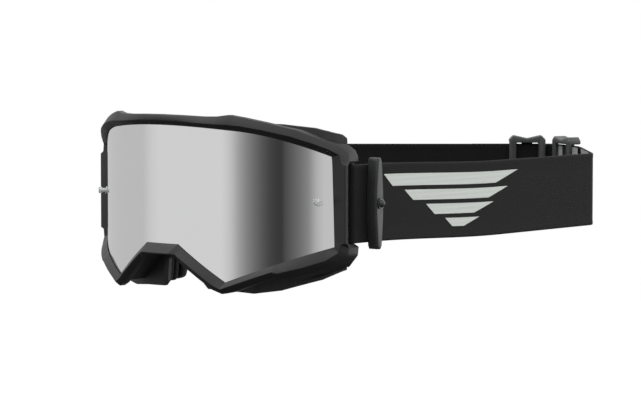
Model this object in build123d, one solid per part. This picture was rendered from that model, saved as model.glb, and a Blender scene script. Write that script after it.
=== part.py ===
from build123d import *
import math
import os

# Off-road riding goggles with an elastic head strap. Millimetres, +Z up, lens facing -Y.
# The origin is where the forehead presses on the face foam: middle plane, strap height.
# +X is the wearer's left. "Setback" is a distance behind the front of the lens.

# Lens
LENS_RADIUS = 96.0            # plan radius of the middle of the lens
LENS_TURN = 30.0              # degrees each side that the middle radius covers
LENS_SIDE_RADIUS = 120.0      # plan radius of each side of the lens
LENS_THICK = 1.2
LENS_HALF_WIDTH = 87.4        # visible half width
LENS_TOP = 44.2               # visible top edge at the middle
SHOULDER_FROM_SIDE = 45.4     # where the brow curve starts to fall, in from the lens side
SHOULDER_HEIGHT = 41.9
BROW_FROM_SIDE = 20.7         # on the falling part of the brow, in from the lens side
BROW_HEIGHT = 36.7
LENS_CORNER_TOP = 27.0        # height of the upper outer corner
LENS_CORNER_LOW = -23.9       # height of the lower outer corner
LENS_TIP = (40.5, -43.8)      # lowest point, each side of the nose
NOSE_HALF = 11.9              # half width of the flat over the nose
NOSE_TOP = -23.1              # height of that flat
LENS_BITE = 3.0               # how far the lens runs into its groove

# Bezel
BEZEL_PROUD = 4.0             # ridge in front of the lens face
BEZEL_STEP = 1.5              # height of the outer facet's foot in front of the lens face
BEZEL_BACK = 3.0              # bezel behind the lens face
BEZEL_TOP = 6.2               # bezel above the lens at the middle
BEZEL_SIDE = 5.1              # bezel beside the lens
BEZEL_LOW = 7.0               # bezel below the lower edge of the lens
BEZEL_NOSE = 6.0              # bezel under the nose flat
BEAK_OUT = 7.0                # lower edge of the nose bridge in front of the lens face
BEAK_EDGE = 0.5               # height of that edge above the bezel's lowest line there
NOSE_TAPER = 1.4              # nose bridge narrower below than above, each side
BROW_PEAK = 8.9               # height of the brow corner above the lens shoulder
FACET = 2.6                   # width of the outer facet
GROOVE_GAP = 0.2              # clearance round the lens in its groove
LENS_SHY = 1.0                # lens edge kept inside the bezel at the strap slot
BEZEL_CORNER = 2.5            # cut of the bezel's upper outer corner
SIDE_BAR_HALF = 22.0          # half height of the bar beside the lens, in front of the strap
SIDE_BAR_FRONT = (0.3, -6.5)  # its corners in plan, beside and behind the lens edge
SIDE_BAR_RIDGE = (7.4, -0.7)
SIDE_BAR_EDGE = (8.1, 1.1)
SIDE_BAR_FOOT = 5.2           # beside the lens edge, where the strap slot begins
SIDE_BAR_ROOT = 2.0

# Face frame
FLANGE_RADIUS = 130.0         # plan radius of the face flange
FLANGE_SETBACK = 22.0         # back of the flange at the middle
FLANGE_THICK = 2.5
FLANGE_ABOVE = 2.4            # flange above the lens at the middle
FLANGE_BESIDE = 6.6           # flange beside the lens
FLANGE_BELOW = 8.2            # flange below the lens tips
WALL = 2.2                    # side wall between bezel and flange
WALL_INSET = 3.0              # wall inside the bezel's outline
RIM = 7.0                     # flange inside the lens outline
LOBE_HEIGHT = 8.5             # height of the lobes above and below the strap
LOBE_ROUND = 5.0              # round of their back corner
LOBE_BEHIND = 7.2             # back of the lobes behind the strap slot's front

# Strap seat
BAND_WIDTH = 44.5
BAND_THICK = 1.6
BAND_GAP = 0.15               # between two layers, and between a layer and its neighbour
POCKET_GAP = 2.2              # above and below the band where it enters the frame
FLOOR_INSET = 0.8             # frame behind the band, inside the lens half width
SLOT_BEHIND = 5.64            # front of the slot behind the lens edge
POST_OFF_FLOOR = 3.9          # post centre outside the frame behind the band
POST_BEHIND = 5.0             # post centre behind the front of the slot
POST_DIAMETER = 3.5

# Strap route behind the frame
FOLD_SETBACK = 293.0          # where the near run turns across the back
BEND_INWARD = 48.2            # from that fold to the bend, across
BEND_BEHIND = 24.0            # from that fold to the bend, backwards
SIDE_FORWARD = 91.0           # far corner in front of the fold
FOLD_RADIUS = 8.0
BEND_RADIUS = 6.0
SIDE_BEND_RADIUS = 100.0
OUTER_TAIL = 52.0             # outer layer past the bend
INNER_TAIL = 36.0             # inner layer past the bend
LOOP_TAIL = 22.3              # folded end of the band behind the lock

# Strap lock: bar, peg and inner plate at each side
LOCK_BEHIND = 12.7            # lock behind the strap post
LOCK_HALF_HEIGHT = 26.0
LOCK_DEPTH = 7.1
LOCK_LENGTH_MID = 7.0
LOCK_LENGTH_END = 4.5
LOCK_WAIST = 16.0             # height of the bar's widest part
LOCK_CHAMFER = 0.9
PEG_DIAMETER = 4.0
PEG_FIT = 0.06                # radial running clearance of the bar on its peg
PEG_BALL = 4.4
PEG_COLLAR = 0.9              # height and overhang of the collar that keeps the bar on
PEG_HOLE_GAP = 0.1            # radial room for the peg in the band
PEG_OUT = 1.0                 # ball centre beyond the bar's middle face
PLATE_THICK = 1.5
PLATE_LENGTH = 9.0
PLATE_HEIGHT = 18.0
PLATE_CORNER = 2.0

# Sliders
SLIDER_LENGTH = 23.0
SLIDER_RAIL = 4.65            # rail above and below the band's passage
SLIDER_ROOM = 0.8             # band's passage above and below the band
SLIDER_CORNER = 2.6           # cut of its corners
SLIDER_THICK = 2.4
SLIDER_SLOT = 3.6
SLIDER_SLOT_PITCH = 10.3
SLIDER_GAP = 0.35             # clearance to the layers it holds
SLIDER_VALLEY = 2.0           # dip in the top and bottom edges
SLIDER_ON_RUN = 17.0          # far slider, from the bend
SLIDER_ON_LEG = 18.5          # near slider, from the bend

# Foam
FOAM_BASE = 4.5
FOAM_MIDDLE = 4.5
FOAM_FLEECE = 9.5
FOAM_SHY = 5.4                # foam edge inside the lens half width
FOAM_INSET = 1.8              # foam inside the flange above and below
VENT_FOAM = 2.0
VENT_WIDTH = 15.0
VENT_PITCH = 21.0
VENT_COUNT = 6
VENT_LOW_WIDTH = 13.0
VENT_SILL = 2.2               # wall left before and behind a window
VENT_LEAST = 3.0              # length of the shortest window
VENT_TALL = 30.0              # taller than the wall that a window cuts
VENT_LOW_FIRST = 9.5          # first low window outside the lens tip
VENT_LOW_PITCH = 16.0
VENT_FOAM_LAP = 2.5           # vent foam past the last window
VENT_FOAM_GAP = 0.4           # vent foam short of the bezel and the flange

# Tear-off posts
TEAR_FROM_EDGE = 6.0          # post from the lens edge
TEAR_HEIGHT = 1.6             # post above the strap's centre line
TEAR_STEM = 2.4
TEAR_OUT = 5.6
TEAR_HEAD = 3.8
TEAR_HEAD_THICK = 1.8
TEAR_COLLAR = 4.2
TEAR_COLLAR_THICK = 1.0
TEAR_SEAT = 0.3               # collar clear of the curved lens face
TEAR_TAIL = 0.6               # stem behind its washer
TEAR_FIT = 0.1
WASHER_DIAMETER = 6.6
WASHER_THICK = 1.0
WASHER_GAP = 0.2              # washer clear of the curved lens back

# Grip lines on the inner face of the strap
GRIP_HEIGHT = 0.6
GRIP_WIDTH = 1.8
GRIP_PITCH = 9.0
GRIP_COUNT = 3
GRIP_ENDS = 6.0
GRIP_SHORT = 0.47             # far lines stop this share of the side bend's radius before its corner

REACH = 400.0                 # larger than the object, for cutting shapes
LENS_FRONT = -(FLANGE_SETBACK + FOAM_BASE + FOAM_MIDDLE + FOAM_FLEECE)
LENS_SHOULDER = (LENS_HALF_WIDTH - SHOULDER_FROM_SIDE, SHOULDER_HEIGHT)
LENS_BROW = (LENS_HALF_WIDTH - BROW_FROM_SIDE, BROW_HEIGHT)
POCKET_HALF = BAND_WIDTH / 2 + POCKET_GAP
POCKET_FLOOR = LENS_HALF_WIDTH - FLOOR_INSET
POST_X = POCKET_FLOOR + POST_OFF_FLOOR
FLANGE_TOP = LENS_TOP + FLANGE_ABOVE
FLANGE_HALF_WIDTH = LENS_HALF_WIDTH + FLANGE_BESIDE
FLANGE_LOW = LENS_TIP[1] - FLANGE_BELOW
FOAM_HALF_WIDTH = LENS_HALF_WIDTH - FOAM_SHY
TEAR_X = LENS_HALF_WIDTH - TEAR_FROM_EDGE
LAYER = BAND_THICK + BAND_GAP
WRAP = POST_DIAMETER / 2 + BAND_GAP + BAND_THICK / 2


def back_of(setback):
    """Y of a place that far behind the front of the lens."""
    return LENS_FRONT + setback


def lens_point(degrees, offset):
    """Plan point on the lens curve moved out along its normal."""
    angle = math.radians(abs(degrees))
    turn = math.radians(LENS_TURN)
    if abs(degrees) <= LENS_TURN:
        x = LENS_RADIUS * math.sin(angle)
        y = LENS_RADIUS * (1 - math.cos(angle))
    else:
        x = LENS_RADIUS * math.sin(turn) + LENS_SIDE_RADIUS * (math.sin(angle) - math.sin(turn))
        y = LENS_RADIUS * (1 - math.cos(turn)) + LENS_SIDE_RADIUS * (math.cos(turn) - math.cos(angle))
    x += offset * math.sin(angle)
    y -= offset * math.cos(angle)
    return (math.copysign(x, degrees), back_of(y))


def lens_angle(x, offset):
    """Angle in degrees at which the offset side curve reaches the half width x."""
    start = (LENS_RADIUS - LENS_SIDE_RADIUS) * math.sin(math.radians(LENS_TURN))
    return math.degrees(math.asin((x - start) / (LENS_SIDE_RADIUS + offset)))


EDGE_SETBACK = lens_point(lens_angle(LENS_HALF_WIDTH, 0), 0)[1] - LENS_FRONT
SLOT_SETBACK = EDGE_SETBACK + SLOT_BEHIND
LOBE_SETBACK = SLOT_SETBACK + LOBE_BEHIND
POST_SETBACK = SLOT_SETBACK + POST_BEHIND
LOCK_SETBACK = POST_SETBACK + LOCK_BEHIND
TAIL_SETBACK = LOCK_SETBACK + LOOP_TAIL


def behind_lens(offset):
    """Everything behind the lens curve moved out by offset, as one tall solid."""
    ends = 78.0
    left = ThreePointArc(
        lens_point(-ends, offset), lens_point(-(ends + LENS_TURN) / 2, offset), lens_point(-LENS_TURN, offset)
    )
    middle = ThreePointArc(
        lens_point(-LENS_TURN, offset), lens_point(0, offset), lens_point(LENS_TURN, offset)
    )
    right = ThreePointArc(
        lens_point(LENS_TURN, offset), lens_point((ends + LENS_TURN) / 2, offset), lens_point(ends, offset)
    )
    far_left = lens_point(-ends, offset)
    far_right = lens_point(ends, offset)
    back = Polyline(far_right, (far_right[0], REACH), (far_left[0], REACH), far_left)
    return Pos(0, 0, -REACH / 2) * extrude(make_face([left, middle, right, back]), REACH)


def behind_flange(setback):
    """Everything behind the flange curve whose middle has that setback."""
    centre = Pos(0, back_of(setback) + FLANGE_RADIUS)
    disc = centre * Circle(FLANGE_RADIUS)
    beyond = Pos(0, back_of(setback) + FLANGE_RADIUS + REACH / 2) * Rectangle(2 * FLANGE_RADIUS, REACH)
    return Pos(0, 0, -REACH / 2) * extrude(disc + beyond, REACH)


def front_view(sketch):
    """A sketch drawn as X and Z, made into a long bar along Y."""
    return extrude(Rot(90, 0, 0) * sketch, REACH, both=True)


def mirrored(points):
    """Right half points, top to bottom, followed by their left half."""
    return points + [(-x, z) for x, z in reversed(points) if x > 0]


def lens_sketch():
    shoulder = LENS_SHOULDER
    corner = (LENS_HALF_WIDTH - 1.0, LENS_CORNER_TOP)
    brow = ThreePointArc((-shoulder[0], shoulder[1]), (0, LENS_TOP), shoulder)
    right = ThreePointArc(shoulder, LENS_BROW, corner)
    left = ThreePointArc((-corner[0], corner[1]), (-LENS_BROW[0], LENS_BROW[1]), (-shoulder[0], shoulder[1]))
    low = [corner, (LENS_HALF_WIDTH, LENS_CORNER_LOW), LENS_TIP, (NOSE_HALF, NOSE_TOP)]
    rest = Polyline(*mirrored(low))
    return make_face([brow, right, rest, left])


def bezel_sketch(inset=0.0):
    side = LENS_HALF_WIDTH + BEZEL_SIDE
    peak_x = LENS_SHOULDER[0]
    points = [
        (0, LENS_TOP + BEZEL_TOP),
        (peak_x - 7, LENS_SHOULDER[1] + BROW_PEAK - 1.1),
        (peak_x, LENS_SHOULDER[1] + BROW_PEAK),
        (LENS_BROW[0] - 10, LENS_BROW[1] + 11.0),
        (LENS_BROW[0] + 5, LENS_BROW[1] + 6.2),
        (side - BEZEL_CORNER, LENS_CORNER_TOP + 7.0),
        (side, LENS_CORNER_TOP + 2.0),
        (side, LENS_CORNER_LOW - 3.0),
        (side - 4, LENS_CORNER_LOW - BEZEL_LOW),
        (LENS_TIP[0] + 26, LENS_TIP[1] + 10.9 - BEZEL_LOW),
        (LENS_TIP[0] + 4, LENS_TIP[1] - BEZEL_LOW + 1.2),
        (LENS_TIP[0] - 3.5, LENS_TIP[1] - BEZEL_LOW + 0.2),
        (LENS_TIP[0] - 7, LENS_TIP[1] - BEZEL_LOW + 2.8),
        (NOSE_HALF + 3, NOSE_TOP - BEZEL_NOSE - 4.6),
        (NOSE_HALF - NOSE_TAPER, NOSE_TOP - BEZEL_NOSE),
    ]
    face = make_face(Polyline(*mirrored(points), close=True))
    if inset:
        face = offset(face, -inset, kind=Kind.INTERSECTION)
    return face


def flange_sketch():
    wide = FLANGE_HALF_WIDTH
    points = [
        (0, FLANGE_TOP),
        (wide - 34, FLANGE_TOP - 1.4),
        (wide - 18, FLANGE_TOP - 3.4),
        (wide - 7, FLANGE_TOP - 7.0),
        (wide - 2.5, FLANGE_TOP - 12.5),
        (wide, POCKET_HALF),
        (wide, -POCKET_HALF),
        (wide - 1.5, FLANGE_LOW + 22.0),
        (wide - 6, FLANGE_LOW + 14.0),
        (wide - 15, FLANGE_LOW + 9.0),
        (LENS_TIP[0] + 18.5, FLANGE_LOW + 2.5),
        (LENS_TIP[0] + 5, FLANGE_LOW + 0.5),
        (LENS_TIP[0] - 8, FLANGE_LOW + 1.5),
        (NOSE_HALF + 5, FLANGE_LOW + 2.0),
        (NOSE_HALF + 2, FLANGE_LOW + 5.0),
        (NOSE_HALF + 1, NOSE_TOP - 11.0),
        (NOSE_HALF - 5, NOSE_TOP - 4.5),
    ]
    return make_face(Polyline(*mirrored(points), close=True))


def pocket():
    """The space that the strap takes at both sides of the frame."""
    block = Box(REACH, REACH, 2 * POCKET_HALF, align=(Align.MIN, Align.MIN, Align.CENTER))
    return [Pos(POCKET_FLOOR, back_of(SLOT_SETBACK), 0) * block,
            Pos(-POCKET_FLOOR - REACH, back_of(SLOT_SETBACK), 0) * block]


def make_lens():
    edge = offset(lens_sketch(), LENS_BITE)
    sheet = behind_lens(0) - behind_lens(-LENS_THICK)
    body = front_view(edge) & sheet
    for side in (1, -1):
        body -= on_lens(side) * Cylinder(TEAR_STEM / 2 + TEAR_FIT, 12)
    for block in pocket():
        body -= Pos(0, -LENS_SHY, 0) * block
    return body


def on_lens(side):
    """Place on the lens face at a tear-off post, Z along the outward normal."""
    degrees = lens_angle(TEAR_X, 0)
    x, y = lens_point(side * degrees, 0)
    angle = math.radians(degrees)
    plane = Plane((x, y, TEAR_HEIGHT), x_dir=(0, 0, 1), z_dir=(side * math.sin(angle), -math.cos(angle), 0))
    return plane.location


def beak_profile(points):
    """Y and Z points made into a solid as wide as the nose bridge."""
    half = NOSE_HALF - NOSE_TAPER
    return Pos(-half, 0, 0) * extrude(Plane.YZ * make_face(Polyline(*points, close=True)), 2 * half)


def beak():
    """Nose bridge that slopes down and forward from the lens."""
    low = NOSE_TOP - BEZEL_NOSE
    face = back_of(0)
    return beak_profile([(face, NOSE_TOP), (back_of(-BEAK_OUT), low + BEAK_EDGE), (back_of(-BEZEL_PROUD), low),
                         (face, low)])


def beak_cut():
    """The part of the ridge that stands in front of the bridge's slope."""
    low = NOSE_TOP - BEZEL_NOSE + BEAK_EDGE
    front = back_of(-BEAK_OUT)
    return beak_profile([(back_of(0), NOSE_TOP), (front, low), (front, NOSE_TOP + 1)])


def side_bar(side):
    """Upright bar beside the lens, as deep as the strap slot's front."""
    corners = [SIDE_BAR_FRONT, SIDE_BAR_RIDGE, SIDE_BAR_EDGE, (SIDE_BAR_FOOT, SLOT_BEHIND),
               (SIDE_BAR_ROOT, SLOT_BEHIND)]
    points = [(side * (LENS_HALF_WIDTH + x), back_of(EDGE_SETBACK + y)) for x, y in corners]
    return Pos(0, 0, -SIDE_BAR_HALF) * extrude(make_face(Polyline(*points, close=True)), 2 * SIDE_BAR_HALF)


def make_bezel():
    opening = lens_sketch()
    ring = front_view(bezel_sketch()) - front_view(opening)
    foot = ring & (behind_lens(BEZEL_STEP) - behind_lens(-BEZEL_BACK))
    ridge = front_view(bezel_sketch(FACET)) - front_view(opening)
    ridge = ridge & (behind_lens(BEZEL_PROUD) - behind_lens(BEZEL_STEP))
    body = foot + (ridge - beak_cut()) + beak() + side_bar(1) + side_bar(-1)
    groove = offset(opening, LENS_BITE + GROOVE_GAP)
    body -= front_view(groove) & (behind_lens(GROOVE_GAP) - behind_lens(-LENS_THICK - GROOVE_GAP))
    for block in pocket():
        body -= block
    return body


def vent_places():
    first = -VENT_PITCH * (VENT_COUNT - 1) / 2
    return [first + VENT_PITCH * i for i in range(VENT_COUNT)]


def low_vent_places():
    first = LENS_TIP[0] + VENT_LOW_FIRST
    return [first, first + VENT_LOW_PITCH]


def wall_sketches():
    outer = bezel_sketch(WALL_INSET)
    inner = bezel_sketch(WALL_INSET + WALL)
    return outer, inner


def vent_cutters():
    """Boxes through the top and bottom walls between the bezel and the flange."""
    cutters = []
    for x in vent_places():
        degrees = math.degrees(math.asin(min(0.99, abs(x) / LENS_RADIUS)))
        front = lens_point(degrees, -BEZEL_BACK)[1]
        cutters.append(Pos(x, front + VENT_SILL, LENS_SHOULDER[1] + BEZEL_TOP) * Box(
            VENT_WIDTH, vent_depth(x), VENT_TALL, align=(Align.CENTER, Align.MIN, Align.CENTER)))
    for x in low_vent_places():
        front = lens_point(lens_angle(x, -BEZEL_BACK), -BEZEL_BACK)[1]
        for side in (1, -1):
            cutters.append(Pos(side * x, front + VENT_SILL, LENS_TIP[1]) * Box(
                VENT_LOW_WIDTH, vent_depth(x), VENT_TALL, align=(Align.CENTER, Align.MIN, Align.CENTER)))
    return cutters


def vent_depth(x):
    """Window length along Y, ending short of the flange."""
    flange = back_of(FLANGE_SETBACK) + FLANGE_RADIUS - math.sqrt(FLANGE_RADIUS ** 2 - x ** 2) - FLANGE_THICK
    degrees = math.degrees(math.asin(min(0.99, abs(x) / LENS_RADIUS)))
    if degrees > LENS_TURN:
        degrees = lens_angle(abs(x), -BEZEL_BACK)
    front = lens_point(degrees, -BEZEL_BACK)[1]
    return max(VENT_LEAST, flange - front - 2 * VENT_SILL)


def make_face_frame():
    outer, inner = wall_sketches()
    between = behind_lens(-BEZEL_BACK) - behind_flange(FLANGE_SETBACK - FLANGE_THICK)
    walls = (front_view(outer) - front_view(inner)) & between
    for cutter in vent_cutters():
        walls -= cutter
    eye = offset(lens_sketch(), -RIM)
    plate = behind_flange(FLANGE_SETBACK - FLANGE_THICK) - behind_flange(FLANGE_SETBACK)
    flange = (front_view(flange_sketch()) - front_view(eye)) & plate
    body = walls + flange
    for side in (1, -1):
        for up in (1, -1):
            body += lobe(side, up)
    body = body & behind_lens(-BEZEL_BACK)
    for block in pocket():
        body -= block
    for side in (1, -1):
        post = Cylinder(POST_DIAMETER / 2, 2 * POCKET_HALF)
        body += Pos(side * POST_X, back_of(POST_SETBACK), 0) * post
    return body


def lobe(side, up):
    """Rounded block that closes the frame above or below the strap."""
    front = back_of(SLOT_SETBACK - 5)
    depth = back_of(LOBE_SETBACK) - front
    width = FLANGE_HALF_WIDTH - POCKET_FLOOR + 3
    block = Box(width, depth, LOBE_HEIGHT, align=(Align.CENTER, Align.MIN, Align.MIN))
    corner = block.edges().filter_by(Axis.X).group_by(Axis.Y)[-1].group_by(Axis.Z)[-1]
    block = fillet(corner, LOBE_ROUND)
    x = FLANGE_HALF_WIDTH - width / 2
    placed = Pos(side * x, front, POCKET_HALF) * block
    if up < 0:
        placed = mirror(placed, Plane.XY)
    return placed & front_view(flange_sketch())


def foam_layer(front, thick):
    inside = Rectangle(2 * FOAM_HALF_WIDTH, REACH)
    outer = offset(flange_sketch(), -FOAM_INSET, kind=Kind.INTERSECTION) & inside
    eye = offset(lens_sketch(), -RIM)
    layer = behind_flange(front) - behind_flange(front + thick)
    return (front_view(outer) - front_view(eye)) & layer


def vent_foam(low_x, high_x, clear, up):
    """Thin open foam lying on the inside of the wall, above or below the height clear."""
    outer = bezel_sketch(WALL_INSET + WALL)
    inner = bezel_sketch(WALL_INSET + WALL + VENT_FOAM)
    ring = front_view(outer) - front_view(inner)
    space = behind_lens(-BEZEL_BACK - VENT_FOAM_GAP)
    space = space - behind_flange(FLANGE_SETBACK - FLANGE_THICK - VENT_FOAM_GAP)
    place = Pos((low_x + high_x) / 2, 0, clear + up * REACH / 2)
    return ring & space & (place * Box(high_x - low_x, REACH, REACH))


def shift_route(points, distance):
    """Corners of a route moved sideways, to its right, by distance."""
    moved = []
    for i, point in enumerate(points):
        before = points[max(i - 1, 0)]
        after = points[min(i + 1, len(points) - 1)]
        first = direction(before, point) if i > 0 else direction(point, after)
        second = direction(point, after) if i < len(points) - 1 else first
        normal = ((first[1] + second[1]) / 2, -(first[0] + second[0]) / 2)
        length = normal[0] ** 2 + normal[1] ** 2
        moved.append((point[0] + distance * normal[0] / length, point[1] + distance * normal[1] / length))
    return moved


def direction(start, end):
    dx = end[0] - start[0]
    dy = end[1] - start[1]
    length = math.hypot(dx, dy)
    return (dx / length, dy / length)


def along(start, end, distance):
    way = direction(start, end)
    return (start[0] + way[0] * distance, start[1] + way[1] * distance)


FOLD = (POST_X + WRAP, back_of(FOLD_SETBACK))
BEND = (FOLD[0] - BEND_INWARD, FOLD[1] + BEND_BEHIND)
SIDE = (-FOLD[0], FOLD[1] - SIDE_FORWARD)


def loop_start(side):
    """Folded end of a band: from its tail, forward and round the post."""
    inner_x = POST_X + WRAP - LAYER
    tail = (inner_x, back_of(TAIL_SETBACK))
    meet = (inner_x, back_of(LOCK_SETBACK - PLATE_LENGTH / 2 - 1))
    dip = (POST_X - WRAP, back_of(POST_SETBACK + 3))
    turn_in = (POST_X - WRAP, back_of(POST_SETBACK))
    turn_mid = (POST_X, back_of(POST_SETBACK) - WRAP)
    turn_out = (POST_X + WRAP, back_of(POST_SETBACK))
    flip = [(side * x, y) for x, y in (tail, meet, dip, turn_in, turn_mid, turn_out)]
    return [Polyline(*flip[:4]), ThreePointArc(*flip[3:])]


def band(path):
    strip = trace(path, BAND_THICK)
    return Pos(0, 0, -BAND_WIDTH / 2) * extrude(strip, BAND_WIDTH)


def outer_route():
    """Outer layer from the left post to its end on the far run."""
    end = along(BEND, SIDE, OUTER_TAIL)
    return [(POST_X + WRAP, back_of(POST_SETBACK)), (POST_X + WRAP, FOLD[1]), BEND, end]


def inner_route():
    """Inner layer from the right post to its end past the bend, one layer inside."""
    end = along(BEND, FOLD, INNER_TAIL)
    route = [(SIDE[0], back_of(POST_SETBACK)), SIDE, BEND, end]
    moved = shift_route(route, LAYER)
    moved[0] = route[0]
    moved[1] = crossing(moved[1], moved[2], SIDE[0])
    return moved


def crossing(start, end, x):
    share = (x - start[0]) / (end[0] - start[0])
    return (x, start[1] + share * (end[1] - start[1]))


def make_band_left():
    route = FilletPolyline(*outer_route(), radius=[FOLD_RADIUS, BEND_RADIUS])
    return band(loop_start(1)) + band(route)


def make_band_right():
    route = FilletPolyline(*inner_route(), radius=[SIDE_BEND_RADIUS, BEND_RADIUS - LAYER])
    return band(loop_start(-1)) + band(route)


def grip_lines(start, end, inward):
    """Three low beads along the inner face of a straight run."""
    way = direction(start, end)
    low = along(start, end, GRIP_ENDS)
    length = math.dist(start, end) - 2 * GRIP_ENDS
    plane = Plane((low[0] + inward[0] * BAND_THICK / 2, low[1] + inward[1] * BAND_THICK / 2, 0),
                  x_dir=(inward[0], inward[1], 0), z_dir=(way[0], way[1], 0))
    lines = []
    for i in range(GRIP_COUNT):
        height = (i - (GRIP_COUNT - 1) / 2) * GRIP_PITCH
        bead = Box(GRIP_HEIGHT, GRIP_WIDTH, length, align=(Align.MIN, Align.CENTER, Align.MIN))
        lines.append(plane.location * Pos(0, height, 0) * bead)
    return Compound(lines)


def lock_place(side):
    """Outer face of the outer layer at the lock, Z outward, Y up."""
    x = side * (POST_X + WRAP + BAND_THICK / 2 + BAND_GAP)
    plane = Plane((x, back_of(LOCK_SETBACK), 0), x_dir=(0, side, 0), z_dir=(side, 0, 0))
    return plane.location


def make_lock_bar(side):
    half = LOCK_HALF_HEIGHT
    mid = LOCK_LENGTH_MID / 2
    end = LOCK_LENGTH_END / 2
    waist = LOCK_WAIST / 2
    outline = Polyline((-mid, 0), (-mid, waist), (-end, half - 2), (-end + 1, half), (end - 1, half),
                       (end, half - 2), (mid, waist), (mid, -waist), (end, 2 - half), (end - 1, -half),
                       (1 - end, -half), (-end, 2 - half), (-mid, -waist), close=True)
    bar = extrude(make_face(outline), LOCK_DEPTH)
    bar = chamfer(bar.faces().sort_by(Axis.Z)[-1].edges(), LOCK_CHAMFER)
    bar -= Cylinder(PEG_DIAMETER / 2 + PEG_FIT, 4 * LOCK_DEPTH)
    return lock_place(side) * bar


def make_lock_peg(side):
    top = LOCK_DEPTH + PEG_OUT
    under = 2 * LAYER + BAND_GAP + PLATE_THICK
    stem = Cylinder(PEG_DIAMETER / 2, under + top, align=(Align.CENTER, Align.CENTER, Align.MIN))
    stem = Pos(0, 0, -under) * stem
    ball = Pos(0, 0, top) * Sphere(PEG_BALL / 2)
    collar = Pos(0, 0, LOCK_DEPTH + BAND_GAP) * Cylinder(
        PEG_DIAMETER / 2 + PEG_COLLAR, PEG_COLLAR, align=(Align.CENTER, Align.CENTER, Align.MIN))
    return lock_place(side) * (stem + ball + collar)


def make_lock_plate(side):
    plate = Box(PLATE_LENGTH, PLATE_HEIGHT, PLATE_THICK, align=(Align.CENTER, Align.CENTER, Align.MAX))
    plate = fillet(plate.edges().filter_by(Axis.Z), PLATE_CORNER)
    plate -= Cylinder(PEG_DIAMETER / 2, 4 * PLATE_THICK)
    return lock_place(side) * Pos(0, 0, -2 * LAYER - BAND_GAP) * plate


def peg_hole(side):
    hole = Pos(0, 0, -LAYER) * Cylinder(PEG_DIAMETER / 2 + PEG_HOLE_GAP, 4 * LAYER)
    return lock_place(side) * hole


def slider_place(corner, other, distance, outward):
    """Middle of a slider on the outer layer's centre line, Z outward, Y up."""
    spot = along(corner, other, distance)
    plane = Plane((spot[0], spot[1], 0), x_dir=(outward[1], -outward[0], 0), z_dir=(outward[0], outward[1], 0))
    return plane.location


def make_slider(place):
    """Three-bar slider: end bars inside the band, middle bar outside it."""
    half = BAND_WIDTH / 2 + SLIDER_ROOM + SLIDER_RAIL
    long = SLIDER_LENGTH / 2
    outer_face = BAND_THICK / 2 + SLIDER_GAP
    inner_face = -BAND_THICK / 2 - LAYER - SLIDER_GAP
    cut = SLIDER_CORNER
    outline = Polyline((-long, half - cut), (cut - long, half), (0, half - SLIDER_VALLEY), (long - cut, half),
                       (long, half - cut), (long, cut - half), (long - cut, -half), (0, SLIDER_VALLEY - half),
                       (cut - long, -half), (-long, cut - half), close=True)
    low = inner_face - SLIDER_THICK
    high = outer_face + SLIDER_THICK
    solid = Pos(0, 0, low) * extrude(make_face(outline), high - low)
    clear = BAND_WIDTH / 2 + SLIDER_ROOM
    window = (SLIDER_SLOT_PITCH + SLIDER_SLOT) / 2
    bar = (SLIDER_SLOT_PITCH - SLIDER_SLOT) / 2
    passage = Pos(0, 0, (outer_face + inner_face) / 2) * Box(
        2 * SLIDER_LENGTH, 2 * clear, outer_face - inner_face)
    under = Box(2 * window, 2 * clear, outer_face - low, align=(Align.CENTER, Align.CENTER, Align.MIN))
    under = Pos(0, 0, low) * under
    solid -= passage
    solid -= under
    for side in (1, -1):
        over = Pos(side * (bar + SLIDER_LENGTH), 0, inner_face)
        solid -= over * Box(2 * SLIDER_LENGTH, 2 * clear, high - inner_face + 1,
                            align=(Align.CENTER, Align.CENTER, Align.MIN))
    return place * solid


def make_tear_off_post(side):
    on_end = (Align.CENTER, Align.CENTER, Align.MIN)
    under = LENS_THICK + WASHER_THICK + TEAR_TAIL
    stem = Pos(0, 0, -under) * Cylinder(TEAR_STEM / 2, TEAR_OUT + under, align=on_end)
    collar = Pos(0, 0, TEAR_SEAT) * Cylinder(TEAR_COLLAR / 2, TEAR_COLLAR_THICK, align=on_end)
    head = Pos(0, 0, TEAR_OUT - TEAR_HEAD_THICK) * Cylinder(TEAR_HEAD / 2, TEAR_HEAD_THICK, align=on_end)
    return on_lens(side) * (stem + collar + head)


def make_post_washer(side):
    washer = Pos(0, 0, -LENS_THICK - WASHER_GAP) * Cylinder(
        WASHER_DIAMETER / 2, WASHER_THICK, align=(Align.CENTER, Align.CENTER, Align.MAX))
    washer -= Cylinder(TEAR_STEM / 2, 12)
    return on_lens(side) * washer


def save(name, shape):
    export_step(shape, "parts/" + name + ".step")


def run_outward():
    way = direction(BEND, SIDE)
    return (way[1], -way[0])


def leg_outward():
    way = direction(FOLD, BEND)
    return (way[1], -way[0])


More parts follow.
